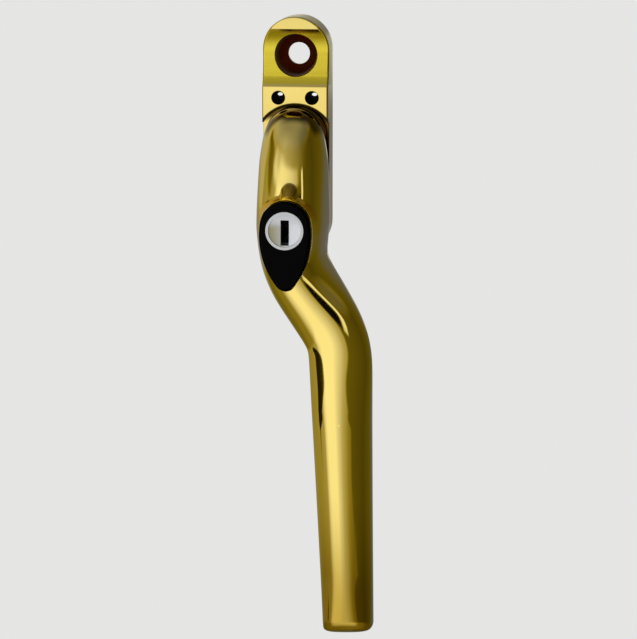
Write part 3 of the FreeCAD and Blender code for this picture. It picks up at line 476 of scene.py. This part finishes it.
polish = cloudy(goldFinish["roughness"], goldFinish["spread"], goldFinish["polishScale"])
gold = finish("polishedGold", goldColour, polish, 1.0, goldFinish["coat"])
leverGold = finish("leverGold", leverColour, polish, 1.0, goldFinish["coat"])
baseGold = finish("baseGold", baseColour, baseRoughness, baseMetal, baseCoat)
black = plainFinish("blackGloss", blackFinish, 0.0)
nickel = plainFinish("lockNickel", nickelFinish, nickelFinish["metallic"])
plugNickel = plainFinish("plugNickel", nickelFinish, nickelFinish["metallic"],
                         lambda s: slotShadeColour(s, nickelFinish["colour"]))
steel = plainFinish("zincSteel", steelFinish, 1.0)
brass = plainFinish("waferBrass", brassFinish, 1.0, lambda s: slotShadeColour(s, brassFinish["colour"]))
acetal = plainFinish("whiteAcetal", acetalFinish, 0.0)
finishOfSlot = {"polished_gold": gold, "black_gloss": black, "lock_chrome": nickel, "bright_steel": steel,
                "wafer_brass": brass, "acetal": acetal}
finishOfNode = {"base_casting": baseGold, "lock_plug": plugNickel}
for part in frame["record"]["subparts"]:
    solid = bpy.data.objects[part["node"]]
    solid.data.materials.clear()
    solid.data.materials.append(finishOfNode.get(part["node"], finishOfSlot[part["material_slot"]]))
print("finishes assigned")


# the lever is one smooth skin, with the raised collar set into it
lever = {                         # millimetres; depth is counted forward from the window
    "runEnds": [(0, 0), (0, -33.1), (14, -50.1), (16.35, -126.9)],
    "bendRadii": (0, 11.5, 10.5, 0),
    "headRadius": 8.05,
    "headRoundness": 2.2,
    "fronts": (26, 34, 37.4, 41.6, 41),
    "halfWidths": (8.05, 8.95, 9.4, 8.5, 8.5, 8.35, 7.75, 6.55),
    "stationDrops": (6, 21.5, 76),
    "fullness": (0.66, 0.84, 0.68, 0.6, 0.8),
    "endPanel": 16,
    "lean": (0.02, 0.09, 0.03, 0.02),
    "backs": (12.3, 29.5),
    "heel": (30, 53),
    "wallShares": (0.12, 0.3),
    "backRadii": (0.4, 1.4),
    "tipSideRadius": 0.8,
    "tipFrontRadius": 3.5,
    "crownPoints": 72, "finePoints": 400,
    "spacing": 0.36,
    "headStep": 1.5,              # degrees between the sections round the head and at the tip
    "tipStep": 3,
    "cornerPoints": 6, "sidePoints": 9, "floorPoints": 13,
    "cornerHandle": 0.4477,       # what a Bezier handle leaves of a quarter circle's radius
    "waistAboveCorner": 0.2, "waistBelowFront": 0.5,
    "softRun": 6,                 # over which a blur sets in
    "leastBlur": 1e-3,
    "softZones": ((20, 78, 3.4), (-7.5, 9, 1.8)),   # start, end and width of blur along the lever
}

collar = {
    "top": 14, "bottom": 37.2, "halfWidth": 6.6, "tipRadius": 3.1, "flankRadius": 22,
    "gap": 0.12, "rim": 0.12, "front": 33.2, "soft": 0.35,
    "noseReach": 4.1, "noseHalf": 16, "noseTurn": 4.5, "noseRise": 0.7, "reachBeside": 1.3,
    "edge": 0.35, "edgeSteps": 9, "slopeSteps": 34, "slopeSpread": 1.3, "hollow": 2.3, "dome": 2.2,
    "sink": 0.02, "buried": 1.6, "points": 288, "pocketFloor": 27.2, "pocketTop": 50, "pocketPoints": 160,
    "farOut": 20.0, "halvings": 40, "rayFrom": 60,
}


def eggDistance(x, z, grow=0.0):
    # signed distance from the button's outline: round top, two long flanks, small round tip
    high, low = -(collar["top"] + collar["halfWidth"]), -(collar["bottom"] - collar["tipRadius"])
    toHigh = collar["flankRadius"] - collar["halfWidth"]
    toLow = collar["flankRadius"] - collar["tipRadius"]
    apart = high - low
    along = (apart**2 + toHigh**2 - toLow**2) / (2 * apart)
    side, level = -math.sqrt(toHigh**2 - along**2), high - along
    x = np.abs(x)
    bearing = np.arctan2(z - level, x - side)
    top = np.hypot(x, z - high) - collar["halfWidth"]
    tip = np.hypot(x, z - low) - collar["tipRadius"]
    flank = np.hypot(x - side, z - level) - collar["flankRadius"]
    upper, lower = math.atan2(high - level, -side), math.atan2(low - level, -side)
    return np.where(bearing > upper, top, np.where(bearing < lower, tip, flank)) - grow


def eggOutline(grow, steps):
    # points round the button's outline, found from its middle outwards
    points = []
    middle = -0.5 * (collar["top"] + collar["bottom"])
    for step in range(steps):
        angle = 2 * math.pi * step / steps
        near, far = 0.0, collar["farOut"]
        for _ in range(collar["halvings"]):
            reach = 0.5 * (near + far)
            at = np.array((reach * math.sin(angle), middle + reach * math.cos(angle)))
            near, far = (near, reach) if eggDistance(*at, grow) > 0 else (reach, far)
        points.append((reach * math.sin(angle), middle + reach * math.cos(angle)))
    return points


def eased(at, start, end):
    t = min(max((at - start) / (end - start), 0.0), 1.0)
    return t * t * (3 - 2 * t)


def through(at, stations):
    # runs smoothly through its stations without overshoot
    steps = [(b[1] - a[1]) / (b[0] - a[0]) for a, b in zip(stations, stations[1:])]
    tilts = [0.0]
    for before, after in zip(steps, steps[1:]):
        tilts.append(2 * before * after / (before + after) if before * after > 0 else 0.0)
    tilts.append(1.5 * steps[-1] - 0.5 * tilts[-1])
    tilts[0] = 1.5 * steps[0] - 0.5 * tilts[1]
    index = max(i for i in range(len(steps)) if i == 0 or at >= stations[i][0])
    (first, low), (last, high) = stations[index], stations[index + 1]
    span = last - first
    t = (at - first) / span
    if t < 0:
        return low + tilts[0] * (at - first)
    ease = t * t * (3 - 2 * t)
    return (low + (high - low) * ease + span * tilts[index] * t * (1 - t) ** 2
            - span * tilts[index + 1] * t * t * (1 - t))


def leverRuns():
    ends, radii = lever["runEnds"], lever["bendRadii"]
    headings = [math.atan2(b[0] - a[0], a[1] - b[1]) for a, b in zip(ends, ends[1:])]
    runs, (x, z) = [], ends[0]
    for index, angle in enumerate(headings):
        turn = headings[index + 1] - angle if index < 2 else 0.0
        length = math.dist((x, z), ends[index + 1]) - radii[index + 1] * math.tan(abs(turn) / 2)
        runs.append((length, x, z, angle, 0.0))
        x, z = x + length * math.sin(angle), z - length * math.cos(angle)
        if turn:
            curvature = math.copysign(1 / radii[index + 1], turn)
            runs.append((abs(turn) * radii[index + 1], x, z, angle, curvature))
            x, z, _ = alongRun(runs[-1], runs[-1][0])
    return runs


def alongRun(run, distance):
    _, x, z, angle, curvature = run
    if not curvature:
        return x + distance * math.sin(angle), z - distance * math.cos(angle), angle
    now = angle + distance * curvature
    return (x + (math.cos(angle) - math.cos(now)) / curvature,
            z + (math.sin(angle) - math.sin(now)) / curvature, now)


def alongLever(runs, distance):
    for run in runs:
        if distance <= run[0] or run is runs[-1]:
            return alongRun(run, distance)
        distance -= run[0]


def inset(radius, distance):
    missing = max(radius - distance, 0.0)
    return radius - math.sqrt(radius**2 - missing**2)


def bezier(poles, t):
    a, b, c, d = (np.array(pole)[None, :] for pole in poles)
    t = t[:, None]
    return a * (1 - t)**3 + 3 * b * t * (1 - t)**2 + 3 * c * t**2 * (1 - t) + d * t**3


def crownSteps(poles):
    # evenly spaced points along the crown's curve
    fine = np.linspace(0, 1, lever["finePoints"])
    length = np.hypot(*np.diff(bezier(poles, fine), axis=0).T)
    total = np.concatenate([[0], np.cumsum(length)])
    return np.interp(np.linspace(0, total[-1], lever["crownPoints"] + 1), total, fine)


def leverSection(runs, at):
    length = sum(run[0] for run in runs)
    knee = sum(run[0] for run in runs[:3]) + runs[3][0] / 2
    crank = runs[0][0] + runs[1][0] + runs[2][0] / 2
    elbow = runs[0][0] + runs[1][0] / 2
    shoulder, lock, palm = lever["stationDrops"]
    x, z, angle = alongLever(runs, max(at, 0.0))
    z -= min(at, 0.0)
    grip = eased(-z, *lever["heel"])
    front = through(at, list(zip((0, lock, knee, palm, length), lever["fronts"])))
    half = through(max(at, 0.0), list(zip((0, shoulder, lock, elbow, crank, knee, palm, length),
                                          lever["halfWidths"])))
    back = lever["backs"][0] + (lever["backs"][1] - lever["backs"][0]) * grip
    wall = lever["wallShares"][0] + (lever["wallShares"][1] - lever["wallShares"][0]) * grip
    waist = back + wall * (front - back)
    fullness = through(max(at, 0.0), list(zip((0, lock, crank, length - lever["endPanel"], length),
                                              lever["fullness"])))
    lean = through(max(at, 0.0), list(zip((0, lock, crank, length), lever["lean"])))
    corner = lever["backRadii"][0] + (lever["backRadii"][1] - lever["backRadii"][0]) * grip
    if at < 0:
        share = -at / lever["headRadius"]
        roundness = lever["headRoundness"]
        half *= math.sqrt(1 - share**2)
        waist = lever["backs"][0] + lever["wallShares"][0] * (lever["fronts"][0] - lever["backs"][0])
        front = waist + (front - waist) * (1 - share**roundness)**(1 / roundness)
        corner = min(corner, half / 3)
    left = length - at
    half -= inset(lever["tipSideRadius"], left)
    front -= inset(lever["tipFrontRadius"], left)
    back += inset(lever["tipSideRadius"], left)
    waist = min(max(waist, back + corner + lever["waistAboveCorner"]), front - lever["waistBelowFront"])
    crown = [(half, waist), (half * (1 - lean), waist + fullness * (front - waist)), (fullness * half, front),
             (0, front)]
    soft = corner * lever["cornerHandle"]
    right = bezier(crown, crownSteps(crown))
    edge = bezier([(half - corner, back), (half - soft, back), (half, back + soft), (half, back + corner)],
                  np.linspace(0, 1, lever["cornerPoints"]))
    side = np.linspace((half, back + corner), (half, waist), lever["sidePoints"])
    rightHalf = np.concatenate([edge, side[1:-1], right])
    floor = np.linspace((half - corner, back), (corner - half, back), lever["floorPoints"])
    leftHalf = rightHalf[::-1][1:] * (-1, 1)
    outline = np.concatenate([rightHalf, leftHalf, floor[::-1][1:-1]])
    across, depth = outline[:, 0], outline[:, 1]
    return np.stack([x + across * math.cos(angle), -depth, z + across * math.sin(angle)], axis=1)


def leverStations(runs):
    radius, length = lever["headRadius"], sum(run[0] for run in runs)
    places = [-radius * math.sin(math.radians(90 - lever["headStep"] * step))
              for step in range(1, round(90 / lever["headStep"]))]
    tip = lever["tipFrontRadius"]
    places += list(np.linspace(0, length - tip, int((length - tip) / lever["spacing"])))[:-1]
    places += [length - tip * (1 - math.sin(math.radians(lever["tipStep"] * step)))
               for step in range(round(90 / lever["tipStep"]) + 1)]
    return places


def meshObject(name, points, faces, smooth=True):
    mesh = bpy.data.meshes.new(name)
    mesh.from_pydata([tuple(millimetre * value for value in point) for point in points], [], faces)
    if smooth:
        mesh.shade_smooth()
    made = bpy.data.objects.new(name, mesh)
    bpy.context.collection.objects.link(made)
    return made


def gridFaces(rows, columns):
    return [(r * columns + c, r * columns + (c + 1) % columns, (r + 1) * columns + (c + 1) % columns,
             (r + 1) * columns + c) for r in range(rows - 1) for c in range(columns)]


def prism(name, outline, start, end):
    # a straight block between two depths, with its outline given as (x, z) points
    count = len(outline)
    points = [(x, -start, z) for x, z in outline] + [(x, -end, z) for x, z in outline]
    faces = gridFaces(2, count) + [tuple(range(count))[::-1], tuple(range(count, 2 * count))]
    return faceOutwards(meshObject(name, points, faces, smooth=False))


def disc(radius, drop, steps=96):
    turns = [2 * math.pi * step / steps for step in range(steps)]
    return [(radius * math.cos(turn), radius * math.sin(turn) - drop) for turn in turns]


def box(half, top, bottom):
    return [(-half, -bottom), (half, -bottom), (half, -top), (-half, -top)]


def faceOutwards(made, merge=1e-7):
    soup = bmesh.new()
    soup.from_mesh(made.data)
    bmesh.ops.remove_doubles(soup, verts=soup.verts, dist=merge)
    bmesh.ops.recalc_face_normals(soup, faces=soup.faces)
    soup.to_mesh(made.data)
    soup.free()
    return made


def combine(made, other, operation):
    # adds a boolean step that settle applies
    step = made.modifiers.new("join", "BOOLEAN")
    step.operation = operation
    step.solver = "EXACT"
    step.object = other


def settle(made, sharp=35):
    # turns an object and its modifiers into one plain mesh
    graph = bpy.context.evaluated_depsgraph_get()
    mesh = bpy.data.meshes.new_from_object(made.evaluated_get(graph))
    made.modifiers.clear()
    made.data = mesh
    mesh.shade_smooth()
    mesh.set_sharp_from_angle(angle=math.radians(sharp))
    return made


def outlineTilt(x, z, nudge=0.01):
    # the outward direction at points of the button's outline
    tilt = np.stack([eggDistance(x + nudge, z) - eggDistance(x - nudge, z),
                     eggDistance(x, z + nudge) - eggDistance(x, z - nudge)], axis=1)
    return tilt / np.linalg.norm(tilt, axis=1, keepdims=True)


def collarRing(skin):
    # the raised collar: from the button's edge it falls in a hollow curve to the lever's skin
    tree = BVHTree.FromPolygons([tuple(point) for point in skin[0]], skin[1])
    outline = np.array(eggOutline(0.0, collar["points"]))
    tilt = outlineTilt(outline[:, 0], outline[:, 1])
    # above the button the collar swells into a short nose
    fromTop = (np.degrees(np.arctan2(tilt[:, 0], tilt[:, 1])) - collar["noseTurn"]) / collar["noseHalf"]
    nose = np.clip(1 - fromTop**2, 0, 1)**collar["noseRise"]
    reach = collar["reachBeside"] + (collar["noseReach"] - collar["reachBeside"]) * nose
    start = collar["gap"] + collar["rim"]
    flat = start + collar["edge"]
    slope = np.linspace(0, 1, collar["slopeSteps"])**collar["slopeSpread"]
    steps = np.concatenate([np.linspace(collar["gap"], flat, collar["edgeSteps"])[:-1], flat + slope])
    points = []
    for (px, pz), (nx, nz), far, swell in zip(outline, tilt, reach, nose):
        span = np.where(steps <= flat, steps, flat + (steps - flat) * (far - collar["edge"]))
        skinDepth = []
        for grow in span:
            above = Vector((px + grow * nx, -collar["rayFrom"], pz + grow * nz))
            hit = tree.ray_cast(above, Vector((0, 1, 0)))[0]
            skinDepth.append(-hit.y if hit else 0.0)
        skinDepth = np.polyval(np.polyfit(span, skinDepth, 3), span)
        part = (span - start) / far
        height = collar["front"] - np.interp(start, span, skinDepth)
        hollow = np.sign(1 - part) * np.abs(1 - part)**collar["hollow"]
        dome = 1 - np.sign(part) * np.abs(part)**collar["dome"]
        ramp = skinDepth + height * ((1 - swell) * hollow + swell * dome)
        ramp -= collar["sink"] * np.clip(part, 0, 1)**2
        close = np.maximum(collar["soft"] - np.abs(ramp - collar["front"]), 0) / collar["soft"]
        depth = np.minimum(ramp, collar["front"]) - close**2 * collar["soft"] / 4
        roots = [skinDepth[-1], min(depth[0], skinDepth[0])]
        depth = np.concatenate([depth, [root - collar["buried"] for root in roots]])
        span = np.concatenate([span, [span[-1], span[0]]])
        points.append(np.stack([px + span * nx, -depth, pz + span * nz], axis=1))
    ring = np.array(points)
    rows, columns = ring.shape[:2]
    faces = gridFaces(rows, columns) + [((rows - 1) * columns + c, (rows - 1) * columns + (c + 1) % columns,
                                         (c + 1) % columns, c) for c in range(columns)]
    return faceOutwards(meshObject("collar", ring.reshape(-1, 3), faces))


def softenZone(grid, places, start, end, blur):
    # averages the skin along the lever, where it bends or starts to round off
    places = np.array(places)
    first, last = np.searchsorted(places, (start, end))
    gaps = np.gradient(places)
    soft = grid.copy()
    run = lever["softRun"]
    for row in range(first, last):
        width = blur * eased(places[row], start, start + run) * eased(places[row], end, end - run)
        share = gaps * np.exp(-0.5 * ((places - places[row]) / max(width, lever["leastBlur"]))**2)
        soft[row] = np.tensordot(share / share.sum(), grid, axes=(0, 0))
    return soft


leverBlocks = {                   # millimetres: a box is half width, top and bottom drop
    "boss": {"radius": 7.7, "depths": (9.0, 13.3)},
    "journal": {"radius": 6.2, "depths": (4.1, 12.6)},
    "socket": {"box": (3.52, -3.52, 3.52), "depths": (-1, 18.02)},
    "bore": {"radius": 4.95, "drop": 21.5, "depths": (16.5, 40)},
    "chamber": {"box": (4.6, 10, 27.2), "depths": (11, 20.65)},
    "chamberStep": {"box": (5.4, 9, 28), "depths": (11, 16.5)},
}


def block(name):
    given = leverBlocks[name]
    outline = box(*given["box"]) if "box" in given else disc(given["radius"], given.get("drop", 0))
    return prism(name, outline, *given["depths"])


def makeLever():
    runs = leverRuns()
    places = leverStations(runs)
    grid = np.array([leverSection(runs, at) for at in places])
    for zone in lever["softZones"]:
        grid = softenZone(grid, places, *zone)
    rows, columns = grid.shape[:2]
    faces = gridFaces(rows, columns)
    faces += [tuple(range(columns))[::-1], tuple(range((rows - 1) * columns, rows * columns))]
    ring = collarRing((grid.reshape(-1, 3), faces))
    body = faceOutwards(meshObject("lever_skin", grid.reshape(-1, 3), faces))
    added = [block("boss"), block("journal")]
    pocket = eggOutline(collar["gap"], collar["pocketPoints"])
    removed = [block("socket"), prism("pocket", pocket, collar["pocketFloor"], collar["pocketTop"]),
               block("bore"), block("chamber"), block("chamberStep")]
    for piece in added:
        combine(body, piece, "UNION")
    for piece in removed:
        combine(body, piece, "DIFFERENCE")
    settle(body)
    settle(ring)
    whole = bmesh.new()
    whole.from_mesh(body.data)
    whole.from_mesh(ring.data)
    whole.to_mesh(body.data)
    whole.free()
    for piece in added + removed + [ring]:
        bpy.data.objects.remove(piece)
    body.data.materials.clear()
    body.data.materials.append(leverGold)
    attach(body, "lever")
    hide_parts("lever_casting")
    print("lever:", len(body.data.polygons), "faces")


makeLever()


scoop = {"foot": 13.35, "head": 28.45, "depth": 2.6, "face": 11.5}   # millimetres
casting = {
    "flat": 0.9999,               # how squarely a flat face looks forwards or backwards
    "upright": 0.01,              # and how little a wall or the scoop leans that way or sideways
    "onArc": 3e-5,                # metres from the scoop's arc
    "crease": 0.6,                # radians over which neighbours are shaded together
    "merge": 1e-6, "least": 1e-7,
}


def castNormals(soup):
    # corner normals: flats stay flat, the scoop follows its arc, fillets run smoothly into both
    high = 0.5 * (scoop["foot"] + scoop["head"])
    radius = ((scoop["head"] - scoop["foot"])**2 / 4 + scoop["depth"]**2) / (2 * scoop["depth"])
    middle = Vector((0, -millimetre * (scoop["face"] - scoop["depth"] + radius), millimetre * high))

    def kind(face):
        if abs(face.normal.y) > casting["flat"]:
            return "flat"
        spokes = [(corner.co - middle) * Vector((0, 1, 1)) for corner in face.verts]
        onArc = all(abs(spoke.length - millimetre * radius) < casting["onArc"] for spoke in spokes)
        if onArc and abs(face.normal.x) < casting["upright"]:
            return "scoop"
        return "wall" if abs(face.normal.y) < casting["upright"] else "soft"

    kinds = [kind(face) for face in soup.faces]
    normals = []
    for face in soup.faces:
        own = kinds[face.index]
        for corner in face.loops:
            arc = ((middle - corner.vert.co) * Vector((0, 1, 1))).normalized()
            found = {}
            for other in corner.vert.link_loops:
                if face.normal.angle(other.face.normal, 0) < casting["crease"]:
                    group = kinds[other.face.index]
                    share = arc if group == "scoop" else other.face.normal * other.calc_angle()
                    found[group] = found.get(group, Vector()) + share
            best = own if own != "soft" else next((k for k in ("flat", "scoop", "wall") if k in found), "soft")
            normals.append(found[best].normalized())
    return normals


def smoothSkin(node, body):
    # a CAD part's own mesh, merged and shaded smooth
    source = bpy.data.objects[node]
    made = bpy.data.objects.new(node + "_skin", source.data.copy())
    bpy.context.collection.objects.link(made)
    soup = bmesh.new()
    soup.from_mesh(made.data)
    bmesh.ops.remove_doubles(soup, verts=soup.verts, dist=casting["merge"])
    bmesh.ops.dissolve_degenerate(soup, edges=soup.edges, dist=casting["least"])
    soup.faces.ensure_lookup_table()
    soup.faces.index_update()
    normals = castNormals(soup)
    soup.to_mesh(made.data)
    soup.free()
    made.data.shade_smooth()
    made.data.normals_split_custom_set(normals)
    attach(made, body)
    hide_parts(node)
    return made


def makeReturnSpring():
    # the whole skin rides with the button, its rear end too
    low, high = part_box("button_return_spring")
    joint = next(j for j in frame["record"]["behaviour"]["joints"] if j["name"] == "button_press")
    spring = smoothSkin("button_return_spring", "button")
    1 - joint["range_m"][1] / (high[1] - low[1])
    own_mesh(spring)


for node, slot, body in (("base_casting", "polished_gold", "base"), ("push_button", "black_gloss", "button"),
                         ("lock_barrel", "lock_chrome", "button"), ("lock_plug", "lock_chrome", "plug")):
    smoothSkin(node, body)
makeReturnSpring()
print("skins of the base, button, lock and return spring made")


waferRow = {                      # metres
    "Count": 5,
    "Pitch": 0.002,
    "First": (0, -0.0312, -0.0215),
    "Plate": (0.0034, 0.0007, 0.006),
    "Window": (0.00185, 0.002, 0.0043),
    "Material": brass,
}


def makeWafers():
    # one plate with its window, repeated in a row by Geometry Nodes
    group = bpy.data.node_groups.new("waferRow", "GeometryNodeTree")
    kinds = {"Count": "Int", "Pitch": "Float", "First": "Vector", "Plate": "Vector", "Window": "Vector",
             "Material": "Material"}
    sockets = {name: group.interface.new_socket(name=name, in_out="INPUT", socket_type="NodeSocket" + kind)
               for name, kind in kinds.items()}
    group.interface.new_socket(name="Geometry", in_out="OUTPUT", socket_type="NodeSocketGeometry")
    g = Signal(group)
    inputs = group.nodes.new("NodeGroupInput")
    given = {name: Signal(group, inputs.outputs[name]) for name in kinds}
    plate = g.node("GeometryNodeMeshCube", None, {"Size": given["Plate"]})
    window = g.node("GeometryNodeMeshCube", None, {"Size": given["Window"]})
    wafer = g.node("GeometryNodeMeshBoolean", {"operation": "DIFFERENCE"}, {"Mesh 1": plate, "Mesh 2": window})
    pitch = g.node("ShaderNodeCombineXYZ", None, {"Y": given["Pitch"]})
    line = g.node("GeometryNodeMeshLine", None, {"Count": given["Count"], "Start Location": given["First"],
                                                 "Offset": pitch})
    row = g.node("GeometryNodeInstanceOnPoints", None, {"Points": line, "Instance": wafer})
    row = g.node("GeometryNodeRealizeInstances", None, {"Geometry": row})
    row = g.node("GeometryNodeSetMaterial", None, {"Geometry": row, "Material": given["Material"]})
    out = group.nodes.new("NodeGroupOutput")
    group.links.new(row.socket, out.inputs["Geometry"])

    made = bpy.data.objects.new("wafers", bpy.data.meshes.new("wafers"))
    bpy.context.collection.objects.link(made)
    repeat = made.modifiers.new("row", "NODES")
    repeat.node_group = group
    for name, socket in sockets.items():
        repeat[socket.identifier] = waferRow[name]
    graph = bpy.context.evaluated_depsgraph_get()
    mesh = bpy.data.meshes.new_from_object(made.evaluated_get(graph))
    made.modifiers.clear()
    made.data = mesh
    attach(made, "plug")
    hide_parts(*[f"wafer_{number}" for number in range(1, waferRow["Count"] + 1)])
    print("wafers:", len(mesh.polygons), "faces")


makeWafers()


floorSet = {                      # metres; the camera sees mostly an even glow
    "level": -0.175, "half": 9.0, "glow": 0.849, "glowShare": 0.9, "colour": (0.8, 0.8, 0.8, 1),
}


def layFloor():
    half, level = floorSet["half"], floorSet["level"]
    mesh = bpy.data.meshes.new("floor")
    mesh.from_pydata([(-half, -half, level), (half, -half, level), (half, half, level), (-half, half, level)],
                     [], [(0, 1, 2, 3)])
    floor = bpy.data.objects.new("floor", mesh)
    bpy.context.collection.objects.link(floor)
    material = bpy.data.materials.new("paleFloor")
    s = newTree(material)
    lit = s.node("ShaderNodeBsdfDiffuse", None, {"Color": floorSet["colour"]})
    shown = s.node("ShaderNodeEmission", None, {"Color": (1, 1, 1, 1), "Strength": floorSet["glow"]})
    camera = s.node("ShaderNodeLightPath")
    mixed = s.node("ShaderNodeMixShader", None, {0: camera * floorSet["glowShare"], 1: lit, 2: shown})
    out = s.tree.nodes.new("ShaderNodeOutputMaterial")
    s.tree.links.new(mixed.socket, out.inputs["Surface"])
    mesh.materials.append(material)
    floor.visible_glossy = False


layFloor()
print("floor laid")
